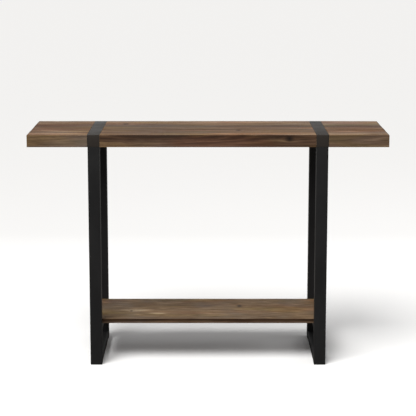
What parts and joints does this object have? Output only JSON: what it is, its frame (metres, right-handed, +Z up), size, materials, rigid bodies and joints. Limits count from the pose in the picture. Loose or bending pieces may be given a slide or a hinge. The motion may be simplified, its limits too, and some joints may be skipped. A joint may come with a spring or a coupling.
{
  "type": "console table",
  "caption": "Long narrow console table: thick wood-look top wrapped by flush black steel straps, on welded square-tube frames, with a thin low shelf.",
  "frame": {"origin": "on the floor, under the middle of the table", "axes": "+X along the length, to the right as seen from the front; +Y from the front to the back; +Z up"},
  "size_m": [1.17, 0.33, 0.77],
  "materials": {
    "wood": "weathered grey-brown wood grain, matt",
    "core": "unfinished particle board",
    "black_steel": "black powder coat, satin",
    "black_plastic": "moulded, matt",
    "zinc": "zinc plated",
    "brass": "turned"
  },
  "bodies": {
    "root": {"tabletop_top_board": "wood", "tabletop_bottom_board": "wood", "tabletop_front_rail": "core", "tabletop_back_rail": "core", "tabletop_left_end_rail": "core", "tabletop_right_end_rail": "core", "left_mount_block": "core", "right_mount_block": "core", "core_rib_1": "core", "core_rib_2": "core", "core_rib_3": "core", "front_edging_left": "wood", "front_edging_center": "wood", "front_edging_right": "wood", "back_edging_left": "wood", "back_edging_center": "wood", "back_edging_right": "wood", "left_end_edging": "wood", "right_end_edging": "wood", "left_strap": "black_steel", "right_strap": "black_steel", "left_front_upright": "black_steel", "left_front_foot_plug": "black_plastic", "left_front_strap_screw": "zinc", "left_front_frame_bolt": "zinc", "left_front_threaded_insert": "brass", "left_front_shelf_screw": "zinc", "left_back_upright": "black_steel", "left_back_foot_plug": "black_plastic", "left_back_strap_screw": "zinc", "left_back_frame_bolt": "zinc", "left_back_threaded_insert": "brass", "left_back_shelf_screw": "zinc", "left_floor_bar": "black_steel", "left_top_bar": "black_steel", "left_shelf_bar": "black_steel", "right_front_upright": "black_steel", "right_front_foot_plug": "black_plastic", "right_front_strap_screw": "zinc", "right_front_frame_bolt": "zinc", "right_front_threaded_insert": "brass", "right_front_shelf_screw": "zinc", "right_back_upright": "black_steel", "right_back_foot_plug": "black_plastic", "right_back_strap_screw": "zinc", "right_back_frame_bolt": "zinc", "right_back_threaded_insert": "brass", "right_back_shelf_screw": "zinc", "right_floor_bar": "black_steel", "right_top_bar": "black_steel", "right_shelf_bar": "black_steel", "shelf_board": "wood", "shelf_front_edging": "wood", "shelf_back_edging": "wood", "shelf_left_edging": "wood", "shelf_right_edging": "wood"}
  },
  "joints": []
}
